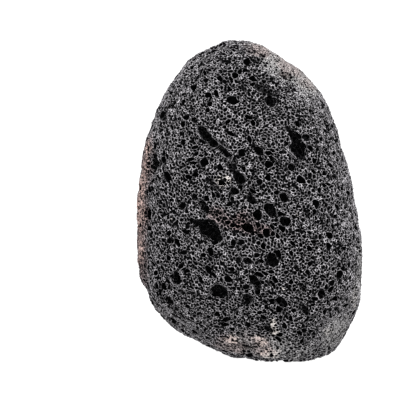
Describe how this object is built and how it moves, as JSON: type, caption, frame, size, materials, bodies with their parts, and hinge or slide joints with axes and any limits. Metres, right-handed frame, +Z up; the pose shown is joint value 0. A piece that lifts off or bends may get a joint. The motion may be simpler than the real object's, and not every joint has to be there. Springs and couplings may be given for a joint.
{
  "type": "lava rock",
  "caption": "Hand-sized water-worn pebble of bubbly basalt that stands on its flat end, used as a decoration or a scrubbing stone.",
  "frame": {"origin": "middle of the stone's box, on the surface that it stands on", "axes": "+Z up along the stone's length, the broad front face looks along -Y, +X is to the right as seen from the front"},
  "size_m": [0.074, 0.0496, 0.1032],
  "materials": {
    "vesicular_basalt": "matt, rough, full of open gas bubbles"
  },
  "bodies": {
    "root": {"lava_rock": "vesicular_basalt"}
  },
  "joints": []
}
